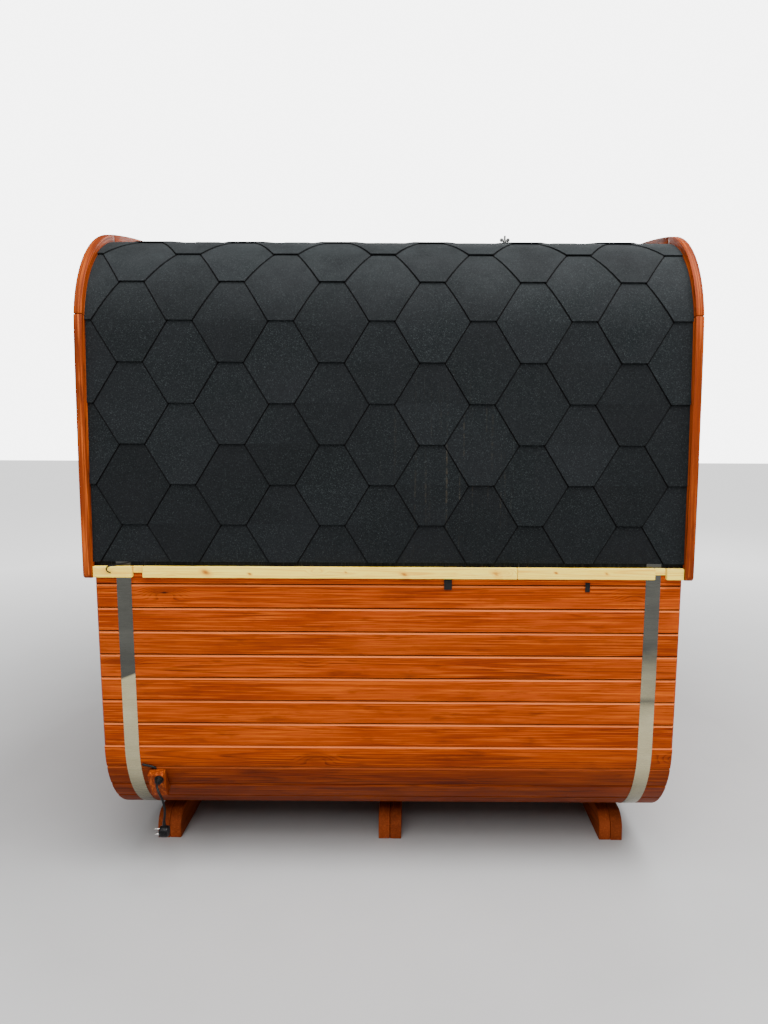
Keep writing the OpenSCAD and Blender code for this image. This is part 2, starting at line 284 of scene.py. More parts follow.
def mark_board(o, axes=(0, 1, 2), pith=None):
    """Gives a board its own grain: lengths along, across and into it from a pith of its own, and a tone."""
    co = coords(o)[:, list(axes)]
    if pith is None:
        pith = (draw.uniform(-40, 40), draw.uniform(-0.05, 0.05), draw.choice([-1, 1]) * draw.uniform(0.035, 0.11))
    set_vector(o, "grain", co + np.array(pith))
    set_float(o, "tone", np.full(len(co), draw.uniform(0, 1)))
    return o


def move(o, by):
    set_coords(o, coords(o) + np.array(by))
    return o


def wrap(o):
    """Lays a flat mesh round the barrel: x stays, y is the length along the outline, z the height off it."""
    co = coords(o)
    y, z = on_outline(co[:, 1], co[:, 2])
    set_coords(o, np.column_stack([co[:, 0], y, z]))
    return o


def join(pieces, name):
    deselect()
    for p in pieces:
        p.select_set(True)
    bpy.context.view_layer.objects.active = pieces[0]
    bpy.ops.object.join()
    o = bpy.context.active_object
    o.name = name
    o.data.name = name
    return o


def piece(o, slot, material, *nodes):
    """Gives a finished piece its material and its body, and hides the nodes that it stands for; the slot is not used.
    """
    o.data.materials.clear()
    o.data.materials.append(material)
    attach(o, "root")
    if nodes:
        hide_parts(*nodes)
    return o


def remove(*objs):
    for o in objs:
        bpy.data.objects.remove(o, do_unlink=True)


# ---------------------------------------------------------------- materials

class Shader:
    """A small writer for node trees: each method adds a node and returns its output."""

    def __init__(self, name, **principled):
        self.material = bpy.data.materials.new(name)
        self.material.use_nodes = True
        self.tree = self.material.node_tree
        self.bsdf = self.tree.nodes["Principled BSDF"]
        for key, value in principled.items():
            self.bsdf.inputs[key.replace("_", " ")].default_value = value

    def put(self, socket, value):
        if isinstance(value, bpy.types.NodeSocket):
            self.tree.links.new(value, socket)
        elif value is not None:
            socket.default_value = value

    def node(self, kind, out, values, **settings):
        n = self.tree.nodes.new(kind)
        for key, value in settings.items():
            setattr(n, key, value)
        for key, value in values.items():
            self.put(n.inputs[key], value)
        return n.outputs[out]

    def place(self, scale=(1, 1, 1), vector=None):
        if vector is None:
            vector = self.node("ShaderNodeTexCoord", "Object", {})
        return self.node("ShaderNodeMapping", "Vector", {"Vector": vector, "Scale": scale})

    def attribute(self, name, out="Vector"):
        return self.node("ShaderNodeAttribute", out, {}, attribute_name=name)

    def noise(self, vector, scale, detail=3.0, rough=0.55):
        return self.node("ShaderNodeTexNoise", "Fac", {"Vector": vector, "Scale": scale, "Detail": detail,
                                                       "Roughness": rough})

    def cells(self, vector, scale, out="Distance"):
        return self.node("ShaderNodeTexVoronoi", out, {"Vector": vector, "Scale": scale})

    def math(self, operation, a, b=0.0, clamp=False):
        n = self.tree.nodes.new("ShaderNodeMath")
        n.operation = operation
        n.use_clamp = clamp
        for socket, value in zip(n.inputs, (a, b)):
            self.put(socket, value)
        return n.outputs[0]

    def split(self, vector):
        n = self.tree.nodes.new("ShaderNodeSeparateXYZ")
        self.put(n.inputs[0], vector)
        return n.outputs

    def bring(self, x, y, z):
        return self.node("ShaderNodeCombineXYZ", 0, {"X": x, "Y": y, "Z": z})

    def ramp(self, fac, *stops, smooth_steps=False):
        """Stops are (place, grey or colour)."""
        n = self.tree.nodes.new("ShaderNodeValToRGB")
        e = n.color_ramp.elements
        if smooth_steps:
            n.color_ramp.interpolation = "EASE"
        while len(e) < len(stops):
            e.new(0.5)
        for item, (at, colour) in zip(e, stops):
            item.position = at
            if not hasattr(colour, "__len__"):
                colour = (colour,) * 3
            item.color = (*colour, 1)
        self.put(n.inputs[0], fac)
        return n.outputs[0]

    def mix(self, fac, a, b, blend="MIX"):
        n = self.tree.nodes.new("ShaderNodeMix")
        n.data_type = "RGBA"
        n.blend_type = blend
        n.clamp_factor = True
        self.put(n.inputs[0], fac)
        for socket, value in ((n.inputs[6], a), (n.inputs[7], b)):
            if isinstance(value, tuple) and len(value) == 3:
                value = (*value, 1)
            self.put(socket, value)
        return n.outputs[2]

    def bump(self, height, distance, strength=1.0, normal=None):
        return self.node("ShaderNodeBump", "Normal", {"Height": height, "Distance": distance, "Strength": strength,
                                                      "Normal": normal})

    def finish(self, colour=None, roughness=None, normal=None):
        if colour is not None:
            self.put(self.bsdf.inputs["Base Color"], colour)
        if roughness is not None:
            self.put(self.bsdf.inputs["Roughness"], roughness)
        if normal is not None:
            self.put(self.bsdf.inputs["Normal"], normal)
        return self.material


def wood(name, bright, pale, middle, dark, knot, gloss=0.5, knots=0.35, tone_spread=0.34, wear_and_highlight=None, low_shade=0.0,
         knot_size=1.0, knot_cells=(3.1, 9.5), knots_at=()):
    """Boards cut from a log: growth rings round a pith, fibres along the board, a few knots, uneven glaze; where
    asked, a painted highlight on chamfers that face up, a painted shadow line on those that face down and painted
    shade towards the bottom.
    """
    s = Shader(name, Specular_IOR_Level=0.08)
    g = s.attribute("grain")
    tone = s.attribute("tone", "Fac")
    wander = s.noise(s.place((0.9, 6, 6), g), 1.0, 2.0)
    slow = s.noise(s.place((0.35, 2.0, 2.0), g), 1.0, 1.0)
    x, y, z = s.split(g)
    y2 = s.math("ADD", y, s.math("MULTIPLY", s.math("SUBTRACT", wander, 0.5), 0.055))
    z2 = s.math("ADD", z, s.math("MULTIPLY", s.math("SUBTRACT", slow, 0.5), 0.075))
    # knots: a sparse set of cells, stretched a little along the board
    spots = s.place((*knot_cells, 0.0), g)
    near = s.cells(spots, 1.0)
    which = s.split(s.cells(spots, 1.0, out="Color"))[0]
    chosen = s.math("LESS_THAN", which, knots)
    knot_zone = s.math("MULTIPLY", chosen, s.ramp(near, (0.0, 1.0), (0.33, 0.0), smooth_steps=True))
    knot_core = s.math("MULTIPLY", chosen, s.ramp(near, (0.020 * knot_size, 1.0), (0.055 * knot_size, 0.0)))
    radius = s.math("SQRT", s.math("ADD", s.math("MULTIPLY", y2, y2), s.math("MULTIPLY", z2, z2)))
    radius = s.math("ADD", radius, s.math("MULTIPLY", knot_zone, 0.012))
    turns = s.math("DIVIDE", radius, 0.0030)
    within = s.math("FRACT", turns)
    late = s.ramp(within, (0.0, 0.0), (0.55, 0.18), (0.86, 1.0), (0.93, 0.9), (1.0, 0.0))
    fibres = s.noise(s.place((5.0, 420, 420), g), 1.0, 3.0, 0.6)
    streaks = s.noise(s.place((1.6, 70, 70), g), 1.0, 3.0, 0.6)
    patches = s.noise(s.place((2.2, 9, 9), g), 1.0, 4.0, 0.6)
    glints = s.noise(s.place((3.4, 190, 190), g), 1.0, 2.0, 0.55)
    smudges = s.noise(s.place((9.0, 42, 42), g), 1.0, 3.0, 0.6)
    colour = s.mix(s.ramp(patches, (0.36, 0.0), (0.64, 1.0)), pale, middle)
    colour = s.mix(s.math("MULTIPLY", late, s.math("MULTIPLY", streaks, 1.15)), colour, dark)
    colour = s.mix(s.ramp(glints, (0.50, 0.0), (0.70, 0.62)), colour, bright)
    colour = s.mix(s.ramp(fibres, (0.50, 0.0), (0.72, 0.62)), colour, dark)
    colour = s.mix(s.ramp(smudges, (0.56, 0.0), (0.76, 0.50)), colour, dark)
    shade = s.math("ADD", 1.0 - tone_spread / 2, s.math("MULTIPLY", tone, tone_spread))
    colour = s.mix(1.0, colour, s.bring(shade, shade, shade), "MULTIPLY")
    colour = s.mix(knot_core, colour, knot)
    halo = s.math("MULTIPLY", s.math("SUBTRACT", knot_zone, knot_core, clamp=True), 0.45)
    colour = s.mix(halo, colour, dark)
    if knots_at:
        # chosen knots, each at a place along the barrel and a height, with its size
        at_x, _, at_z = s.split(s.place())
        nearest = None
        for knot_x, knot_z, size in knots_at:
            dx = s.math("DIVIDE", s.math("SUBTRACT", at_x, knot_x), size)
            dz = s.math("DIVIDE", s.math("SUBTRACT", at_z, knot_z), size * 0.6)
            dz = s.math("ADD", dz, s.math("MULTIPLY", dx, 0.4))
            far = s.math("SQRT", s.math("ADD", s.math("MULTIPLY", dx, dx), s.math("MULTIPLY", dz, dz)))
            nearest = far if nearest is None else s.math("MINIMUM", nearest, far)
        nearest = s.math("ADD", nearest, s.math("MULTIPLY", s.math("SUBTRACT", streaks, 0.5), 1.2))
        colour = s.mix(s.ramp(nearest, (0.35, 0.85), (1.0, 0.0)), colour, dark)
        colour = s.mix(s.ramp(nearest, (0.12, 0.9), (0.55, 0.0)), colour, knot)
    if wear_and_highlight:
        # painted highlight: chamfers that face up are painted paler, as if lit from above, varied a little along the
        # grain
        up = s.split(s.node("ShaderNodeNewGeometry", "True Normal", {}))[2]
        upward_highlight = s.math("MULTIPLY", s.ramp(up, (0.42, 0.0), (0.60, 1.0)), s.ramp(streaks, (0.25, 0.55), (0.6, 1.0)))
        colour = s.mix(upward_highlight, colour, wear_and_highlight)
        # and those that face down get a painted shadow line in the groove, except low down where all faces turn down
        side = s.math("MULTIPLY", s.math("SUBTRACT", s.split(s.place())[2], MID_Z - SHADE_DROP), 60.0, clamp=True)
        colour = s.mix(s.math("MULTIPLY", side, s.ramp(s.math("MULTIPLY", up, -1.0), (0.42, 0.0), (0.60, 0.9))),
                       colour, SHADOW_LINE)
    # painted shade: below SHADE_DROP under the middle the colour is darkened towards the bottom, where the staves
    # turn down away from the light
    if low_shade:
        low = s.math("MULTIPLY", s.math("SUBTRACT", MID_Z - SHADE_DROP, s.split(s.place())[2]), 4.6, clamp=True)
        shade = s.math("SUBTRACT", 1.0, s.math("MULTIPLY", low, low_shade))
        colour = s.mix(1.0, colour, s.bring(shade, shade, shade), "MULTIPLY")
    rough = s.ramp(streaks, (0.2, gloss - 0.07), (0.8, gloss + 0.1))
    relief = s.math("ADD", s.math("MULTIPLY", late, 0.6), s.math("MULTIPLY", fibres, 0.55))
    normal = s.bump(relief, 0.0004, 0.6)
    return s.finish(colour, rough, normal)


# height below the middle where the painted shade towards the bottom begins and the painted groove shadow line ends
SHADE_DROP = 0.70
BATTEN_Z = (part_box("near_batten")[0].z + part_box("near_batten")[1].z) / 2
# colour of the painted shadow line on the grooves' downward-facing chamfers
SHADOW_LINE = (0.028, 0.0036, 0.0008)
# stained boards, with a painted highlight on chamfers that face up, a painted groove shadow line and painted shade
# towards the bottom
STAINED = wood("stained_boards", (0.68, 0.122, 0.0025), (0.410, 0.058, 0.0012), (0.255, 0.029, 0.0008),
               (0.070, 0.0072, 0.0005), (0.030, 0.006, 0.0015), wear_and_highlight=(0.66, 0.150, 0.030), low_shade=0.58)
FASCIA = wood("stained_fascia", (0.62, 0.125, 0.012), (0.235, 0.034, 0.0030), (0.150, 0.020, 0.0020),
              (0.045, 0.006, 0.0010), (0.02, 0.005, 0.002))
FOOT = wood("stained_feet", (0.44, 0.090, 0.022), (0.330, 0.062, 0.013), (0.240, 0.043, 0.010),
            (0.10, 0.018, 0.005), (0.02, 0.005, 0.002), gloss=0.65)
RAW = wood("bare_pine", (1.0, 0.86, 0.17), (1.0, 0.79, 0.110), (0.98, 0.69, 0.075), (0.78, 0.38, 0.035),
           (0.34, 0.09, 0.010), knots=0.60, gloss=0.62, tone_spread=0.06, knot_size=1.9, knot_cells=(6.0, 20.0),
           knots_at=[(x, BATTEN_Z + dz, size) for x, dz, size in (
               (-0.617, 0.001, 0.030), (-0.468, -0.004, 0.013), (-0.143, 0.003, 0.010), (0.055, -0.004, 0.026),
               (0.366, -0.003, 0.032), (0.567, 0.004, 0.011), (0.738, 0.002, 0.013))])


def shingle_material():
    """Mineral granules on bitumen: coarse speckle, slow weathering, paler patches on the upper roof, faint run-off
    streaks and painted shadow lines under the next course's tabs.
    """
    s = Shader("granule_shingles", Specular_IOR_Level=0.10)
    lie = s.attribute("lie")
    tab_x, up_row, row = s.split(lie)
    x, y, z = s.split(s.place())
    flat = s.bring(x, up_row, row)
    grain = s.cells(flat, 520.0, out="Color")
    tint = s.split(grain)
    speck = s.ramp(tint[0], (0.0, (0.0030, 0.0042, 0.0046)), (0.55, (0.0052, 0.0068, 0.0074)),
                   (0.88, (0.0085, 0.0106, 0.0114)), (1.0, (0.026, 0.031, 0.032)))
    slow = s.noise(flat, 3.2, 4.0, 0.6)
    colour = s.mix(s.ramp(slow, (0.35, 0.0), (0.7, 0.45)), speck, (0.0092, 0.0096, 0.0112))
    tone = s.attribute("tone", "Fac")
    shade = s.math("ADD", 0.80, s.math("MULTIPLY", tone, 0.40))
    colour = s.mix(1.0, colour, s.bring(shade, shade, shade), "MULTIPLY")
    # the upper roof is paler, in cloudy patches
    high = s.math("MULTIPLY", s.math("SUBTRACT", z, MID_Z + 0.70), 2.4, clamp=True)
    cloud = s.noise(flat, 7.0, 5.0, 0.7)
    colour = s.mix(s.math("MULTIPLY", high, s.ramp(cloud, (0.3, 0.10), (0.75, 0.50))), colour, (0.042, 0.048, 0.050))
    # thin vertical run-off marks below the middle of the roof
    runs = s.noise(s.place((95, 1.6, 1), flat), 1.0, 2.0, 0.5)
    window = s.math("MULTIPLY", s.ramp(s.math("ABSOLUTE", s.math("SUBTRACT", x, 0.24)), (0.0, 1.0), (0.30, 0.0)),
                    s.ramp(s.math("ABSOLUTE", s.math("SUBTRACT", z, MID_Z + 0.25)), (0.0, 1.0), (0.42, 0.0)))
    mark = s.math("MULTIPLY", s.ramp(runs, (0.60, 0.0), (0.74, 1.0)), window)
    mark = s.math("MULTIPLY", mark, s.ramp(s.noise(flat, 60.0, 3.0, 0.7), (0.42, 0.0), (0.62, 1.0)))
    colour = s.mix(s.math("MULTIPLY", mark, 0.45), colour, (0.070, 0.056, 0.036))
    # painted shadow: a dark line along the outline of the next course's tabs where they lie on this one, thicker
    # under their flat feet than along their slanted sides
    centre = s.math("SUBTRACT", PITCH / 2, s.math("PINGPONG", tab_x, PITCH / 2))
    rise = s.math("SUBTRACT", up_row, EXPOSURE)
    half = s.math("ADD", FLAT / 2, s.math("MULTIPLY", rise, (WIDE - FLAT) / 2 / EXPOSURE))
    slant = s.math("DIVIDE", s.math("SUBTRACT", centre, half), 0.0062)
    level = s.math("DIVIDE", s.math("MULTIPLY", rise, -1.0), 0.0125)
    edge = s.math("MAXIMUM", slant, level)
    line = s.ramp(edge, (0.60, 1.0), (1.0, 0.0))
    colour = s.mix(line, colour, (0.0005, 0.0005, 0.0006))
    rough = s.ramp(tint[1], (0.0, 0.72), (1.0, 0.95))
    relief = s.cells(flat, 520.0)
    normal = s.bump(s.math("SUBTRACT", 1.0, relief), 0.0006, 0.6)
    normal = s.bump(s.noise(flat, 26.0, 3.0), 0.0016, 0.5, normal)
    return s.finish(colour, rough, normal)


def metal(name, colour, dark, rough, scratch=(4, 4, 400), metallic=1.0, bump_depth=0.00005):
    """Rolled or plated metal: fine lines, blotches and a slow waviness."""
    s = Shader(name, Metallic=metallic)
    lines = s.noise(s.place(scratch), 1.0, 4.0, 0.6)
    blotch = s.noise(s.place((1, 1, 1)), 14.0, 4.0, 0.6)
    tint = s.mix(s.ramp(blotch, (0.3, 0.0), (0.75, 1.0)), colour, dark)
    value = s.ramp(lines, (0.25, rough - 0.08), (0.8, rough + 0.12))
    normal = s.bump(lines, bump_depth, 0.5)
    return s.finish(tint, value, normal)


def plastic(name, colour, wear_and_highlight, rough):
    s = Shader(name, Specular_IOR_Level=0.20)
    fine = s.noise(s.place(), 900.0, 2.0)
    scuff = s.noise(s.place((1, 1, 1)), 22.0, 5.0, 0.7)
    tint = s.mix(s.ramp(scuff, (0.45, 0.0), (0.8, 0.6)), colour, wear_and_highlight)
    value = s.ramp(scuff, (0.3, rough - 0.08), (0.8, rough + 0.15))
    return s.finish(tint, value, s.bump(fine, 0.00015, 0.6))


def band_material():
    """Rolled stainless steel with a painted reflection: dark grey above, where the band would mirror dark
    surroundings, and bright beige below, where it would mirror the floor; the line between them runs aslant on
    the left band, and a few painted dark patches lie lower down."""
    s = Shader("rolled_stainless", Metallic=1.0)
    x, y, z = s.split(s.place())
    lines = s.noise(s.place((6, 300, 300)), 1.0, 4.0, 0.6)
    blotch = s.noise(s.place((3, 9, 9)), 1.0, 4.0, 0.6)
    # painted reflection: the masks below say where the band is painted dark grey, as the upper band would mirror dark
    # surroundings; on the left band its edge runs aslant
    height = s.math("SUBTRACT", z, MID_Z)
    left = s.math("LESS_THAN", x, 0.0)
    slanting = s.math("SUBTRACT", height, s.math("MULTIPLY", s.math("ADD", x, 0.9), 0.4))
    reflection_left = s.math("MULTIPLY", s.math("ADD", slanting, 0.468), 120.0, clamp=True)
    reflection_right = s.math("MULTIPLY", s.math("ADD", height, s.math("ADD", 0.60, s.math("MULTIPLY", blotch, 0.12))), 3.2,
                        clamp=True)
    film_and_reflection = s.mix(left, s.bring(reflection_right, reflection_right, reflection_right), s.bring(reflection_left, reflection_left, reflection_left))
    # painted reflection: a dark patch on the right band 0.545 below the middle, and half dark towards the bottom
    reflection_patch = s.math("SUBTRACT", 1.0, s.math("MULTIPLY", s.math("ABSOLUTE", s.math("ADD", height, 0.545)), 26.0),
                   clamp=True)
    reflection_patch = s.math("MULTIPLY", s.math("SUBTRACT", 1.0, left), s.math("MULTIPLY", reflection_patch, 0.85, clamp=True))
    low = s.math("MULTIPLY", s.math("SUBTRACT", -0.80, height), 12.0, clamp=True)
    dark_reflection_mask = s.math("MAXIMUM", s.split(film_and_reflection)[0], s.math("MAXIMUM", reflection_patch, s.math("MULTIPLY", low, 0.5)))
    # painted reflection: bright beige where the band would mirror the floor, dark grey where it would mirror dark
    # surroundings
    bright_reflection = s.mix(s.ramp(blotch, (0.3, 0.0), (0.75, 1.0)), (0.50, 0.455, 0.290), (0.36, 0.320, 0.190))
    dark_reflection = s.mix(s.ramp(blotch, (0.3, 0.0), (0.75, 1.0)), (0.084, 0.084, 0.073), (0.050, 0.050, 0.045))
    tint = s.mix(dark_reflection_mask, bright_reflection, dark_reflection)
    value = s.ramp(lines, (0.25, 0.20), (0.8, 0.36))
    return s.finish(tint, value, s.bump(lines, 0.00005, 0.5))


SHINGLE = shingle_material()
BAND = band_material()
ZINC = metal("zinc_plate", (0.20, 0.205, 0.20), (0.12, 0.122, 0.12), 0.42, (60, 60, 60))
PIN = metal("plug_pins", (0.80, 0.79, 0.75), (0.66, 0.65, 0.60), 0.22, (40, 300, 300))
HINGE = metal("black_coated_steel", (0.020, 0.020, 0.021), (0.035, 0.034, 0.033), 0.45, (80, 80, 80), 0.0, 0.0001)
RUBBER = plastic("black_rubber", (0.0022, 0.0022, 0.0025), (0.005, 0.0048, 0.005), 0.50)
PLASTIC = plastic("black_plastic", (0.0022, 0.0022, 0.0025), (0.006, 0.0058, 0.006), 0.36)


def glass_material():
    s = Shader("door_glass", Transmission_Weight=1.0, IOR=1.45)
    s.bsdf.inputs["Base Color"].default_value = (0.62, 0.68, 0.67, 1)
    film_and_reflection = s.noise(s.place((3, 3, 1)), 6.0, 5.0, 0.65)
    return s.finish(None, s.ramp(film_and_reflection, (0.3, 0.015), (0.8, 0.06)), s.bump(film_and_reflection, 0.0001, 0.2))


GLASS = glass_material()

# ---------------------------------------------------------------- staves

STAVE_GAP = 0.0006


def stave_course(name, edges, rows=1):
    """A row of staves round the outline between the lengths in edges, joined into one piece."""
    made = []
    widths = {}
    for lo, hi in zip(edges, edges[1:]):
        width = hi - lo - STAVE_GAP
        key = (round(width, 4), rows)
        if key not in widths:
            widths[key] = flat_board(name + "_blank", 2 * HALF_LEN, width, STAVE_T, rows)
        stave = copy_of(widths[key], name)
        mark_board(stave)
        move(stave, (0, (lo + hi) / 2, 0))
        made.append(wrap(stave))
    remove(*widths.values())
    o = join(made, name)
    smooth(o, 20)
    return o


def evenly(lo, hi, count):
    return [lo + (hi - lo) * i / count for i in range(count + 1)]


# Joints between staves, from the foot of the side wall up, and round the corners
LOWER_SIDE_TOP = -0.0560
side_low = evenly(-S_SIDE, LOWER_SIDE_TOP, 8)
side_high = evenly(LOWER_SIDE_TOP, BEND_JOINT, 10)
corner_edges = evenly(BEND_JOINT, S_CORNER, 4)
low_corner = [-S_CORNER, -1.1297, -1.0664, -0.9794, -0.8924, -0.8054, -S_SIDE]
roof_edges = evenly(S_CORNER, 2 * S_CREST - S_CORNER, 18)

near = stave_course("near_wall_staves", side_low + side_high[1:])
piece(near, "stained_wood", STAINED, "near_wall")
far_edges = [2 * S_CREST - s for s in reversed(side_low + side_high[1:])]
piece(stave_course("far_wall_staves", far_edges), "stained_wood", STAINED, "far_wall")
piece(stave_course("ceiling_staves", roof_edges), "stained_wood", STAINED, "ceiling")
piece(stave_course("floor_staves", [s + 2 * S_CREST for s in roof_edges]), "stained_wood", STAINED, "floor")
for part, edges in (("upper_near_corner", corner_edges), ("lower_near_corner", low_corner),
                    ("upper_far_corner", [2 * S_CREST - s for s in reversed(corner_edges)]),
                    ("lower_far_corner", [2 * S_CREST - s for s in reversed(low_corner)])):
    piece(stave_course(part + "_staves", edges, rows=4), "stained_wood", STAINED, part)

# ---------------------------------------------------------------- roofing

def shingle_blank():
    """One tab with its share of the covered band above it: half a hexagon on a strip, with real thickness.
    Local y runs from the tab's foot, and z from the underside of the sheet."""
    bpy.ops.mesh.primitive_plane_add(size=1, location=(0, EXPOSURE / 2, 0))
    o = bpy.context.active_object
    o.name = "shingle_blank"
    o.scale = (FLAT, EXPOSURE, 1)
    active(o)
    bpy.ops.object.transform_apply(location=True, rotation=True, scale=True)
    pick(o, "VERT", lambda p: p[1] > EXPOSURE * 0.9)
    edit("VERT")
    bpy.ops.transform.resize(value=(WIDE / FLAT, 1, 1))
    done()
    # steps along the slope so that the sheet can follow the curve
    for y in (0.25, 0.5, 0.75):
        active(o)
        edit()
        bpy.ops.mesh.select_all(action="SELECT")
        bpy.ops.mesh.bisect(plane_co=(0, EXPOSURE * y, 0), plane_no=(0, 1, 0))
        done()
    pick(o, "EDGE", lambda p: p[1] > EXPOSURE * 0.99)
    edit("EDGE")
    bpy.ops.mesh.extrude_region_move(TRANSFORM_OT_translate={"value": (0, 0.002, 0)})
    bpy.ops.transform.resize(value=(PITCH / WIDE, 1, 1))
    for _ in range(5):
        bpy.ops.mesh.extrude_region_move(TRANSFORM_OT_translate={"value": (0, EXPOSURE * 0.21, 0)})
    done()
    return o


blank = shingle_blank()


TABS_IN_COURSE = 8
TAB_LIFT = (0.0006, 0.0024)
SHEET_CLEARANCE = 0.0012


def shingle_course(index, foot_s, shift):
    """One flat course of shingles whose tabs start at length foot_s, with every tab lifted a little differently."""
    o = copy_of(blank, f"shingle_course_{index}")
    active(o)
    m = o.modifiers.new("row", "ARRAY")
    m.use_relative_offset = False
    m.use_constant_offset = True
    m.constant_offset_displace = (PITCH, 0, 0)
    m.count = TABS_IN_COURSE
    m.use_merge_vertices = True
    m.merge_threshold = 0.0005
    bpy.ops.object.modifier_apply(modifier=m.name)
    co = coords(o)
    tab = np.clip(np.floor((co[:, 0] + PITCH / 2) / PITCH).astype(int), 0, TABS_IN_COURSE)
    tones = np.array([draw.uniform(0, 1) for _ in range(TABS_IN_COURSE + 1)])
    lifts = np.array([draw.uniform(*TAB_LIFT) for _ in range(TABS_IN_COURSE + 1)])
    set_float(o, "tone", tones[tab])
    fade = np.clip(1 - co[:, 1] / EXPOSURE, 0, 1)
    co[:, 2] = SHEET_CLEARANCE + 2 * SHEET_T - SHEET_T / EXPOSURE * co[:, 1] + lifts[tab] * fade ** 2
    set_coords(o, co)
    active(o)
    m = o.modifiers.new("thickness", "SOLIDIFY")
    m.thickness = SHEET_T
    m.offset = 1.0
    bpy.ops.object.modifier_apply(modifier=m.name)
    co = coords(o)
    set_vector(o, "lie", np.column_stack([co[:, 0], co[:, 1], np.full(len(co), index * 0.37)]))
    co[:, 0] += TAB_X + shift - PITCH * (TABS_IN_COURSE // 2)
    co[:, 1] += foot_s
    set_coords(o, co)
    for x, side in ((HALF_LEN, 1), (-HALF_LEN, -1)):
        cut(o, (x, 0, 0), (side, 0, 0))
    return o


def roofing():
    """Courses from the eaves to the crest on both sides, with a starter course under the first tabs."""
    made = []
    last = int((S_CREST - FIRST_FOOT) // EXPOSURE)
    for k in range(-1, last + 1):
        foot_s = FIRST_FOOT + k * EXPOSURE
        near_course = shingle_course(k, foot_s, PITCH / 2 if k % 2 else 0.0)
        cut(near_course, (0, EAVES_S, 0), (0, -1, 0))
        cut(near_course, (0, S_CREST, 0), (0, 1, 0))
        far_course = copy_of(near_course, f"shingle_course_far_{k}")
        co = coords(far_course)
        co[:, 1] = 2 * S_CREST - co[:, 1]
        set_coords(far_course, co)
        flip_faces(far_course)
        made += [wrap(near_course), wrap(far_course)]
    return made


CAP_BASE = 0.0088


def crest_caps():
    """Short caps laid over the crest, each lapping the one before."""
    length, show, width = 0.30, 0.15, 0.25
    made = []
    count = int(2 * HALF_LEN // show)
    for i in range(count):
        x = -HALF_LEN + i * show + length / 2
        o = flat_board("cap", length, width, SHEET_T, 6, groove=0, edge=0)
        co = coords(o)
        set_vector(o, "lie", np.column_stack([co[:, 0] * 0, co[:, 0] * 0 + 0.05, np.full(len(co), 9 + i * 0.31)]))
        set_float(o, "tone", np.full(len(co), draw.uniform(0, 1)))
        co[:, 2] += CAP_BASE + SHEET_T * (1.0 + 1.1 * (0.5 - co[:, 0] / length))
        co[:, 0] += x
        co[:, 1] += S_CREST
        set_coords(o, co)
        cut(o, (HALF_LEN, 0, 0), (1, 0, 0))
        made.append(wrap(o))
    return made


# black strip that stands in for the shadow below the shingles' bottom edge, shaped as the sheet under them
FELT_SHADOW_T = 0.0009
FELT_SHADOW_LAP = 0.03


def felt_shadow_strips():
    """A black strip below the shingles' bottom edge, between the bands, on both sides: painted shadow, laid as the
    bottom edge of the black sheet under the shingles.
    """
    spans = [-HALF_LEN, *sorted(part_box("steel_band_" + side)[i].x for side in ("left", "right") for i in (0, 1)),
             HALF_LEN]
    made = []
    for x0, x1 in zip(spans[::2], spans[1::2]):
        for s0, s1 in ((FELT_SHADOW_S, EAVES_S + FELT_SHADOW_LAP), (2 * S_CREST - EAVES_S - FELT_SHADOW_LAP, 2 * S_CREST - FELT_SHADOW_S)):
            o = flat_board("felt_shadow_strip", x1 - x0 - 0.0004, s1 - s0, FELT_SHADOW_T, 2, groove=0, edge=0)
            set_vector(o, "lie", np.column_stack([coords(o)[:, 0] * 0, coords(o)[:, 0] * 0 + EXPOSURE - 0.003,
                                                  coords(o)[:, 0]]))
            set_float(o, "tone", np.zeros(len(o.data.vertices)))
            made.append(wrap(move(o, ((x0 + x1) / 2, (s0 + s1) / 2, 0.0010))))
    return made


FELT_SHADOW_S = height_s(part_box("near_batten")[1].z - MID_Z) + 0.0004
courses = roofing() + crest_caps() + felt_shadow_strips()
remove(blank)
roof = join(courses, "shingles")
smooth(roof, 25)
piece(roof, "bitumen_shingle", SHINGLE, "roof_near_slope", "roof_near_bend", "roof_top", "roof_far_bend",
      "roof_far_slope")

# ---------------------------------------------------------------- bands, fascia and battens


def strip_piece(name, x0, x1, s0, s1, inner, outer, rows, edge=0.0004):
    """A plain strip round the outline, modelled flat."""
    o = flat_board(name, x1 - x0, s1 - s0, outer - inner, rows, groove=0, edge=edge)
    return move(o, ((x0 + x1) / 2, (s0 + s1) / 2, outer))


for side in ("left", "right"):
    lo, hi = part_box("steel_band_" + side)
    made = []
    quarter_rows = [(-S_SIDE, S_SIDE, 6), (S_SIDE, S_CORNER, 24), (S_CORNER, 2 * S_CREST - S_CORNER, 24),
                    (2 * S_CREST - S_CORNER, 2 * S_CREST - S_SIDE, 24),
                    (2 * S_CREST - S_SIDE, 2 * S_CREST + S_SIDE, 6),
                    (2 * S_CREST + S_SIDE, 2 * S_CREST + S_CORNER, 24),
                    (2 * S_CREST + S_CORNER, 4 * S_CREST - S_CORNER, 24),
                    (4 * S_CREST - S_CORNER, 4 * S_CREST - S_SIDE, 24)]
    for s0, s1, rows in quarter_rows:
        made.append(wrap(strip_piece("band", lo.x, hi.x, s0, s1, 0.0001, 0.001, rows, edge=0)))
    band = join(made, f"steel_band_{side}_strip")
    active(band)
    edit("VERT")
    bpy.ops.mesh.select_all(action="SELECT")
    bpy.ops.mesh.remove_doubles(threshold=0.0001)
    done()
    smooth(band, 30)
    piece(band, "stainless_band", BAND, "steel_band_" + side)

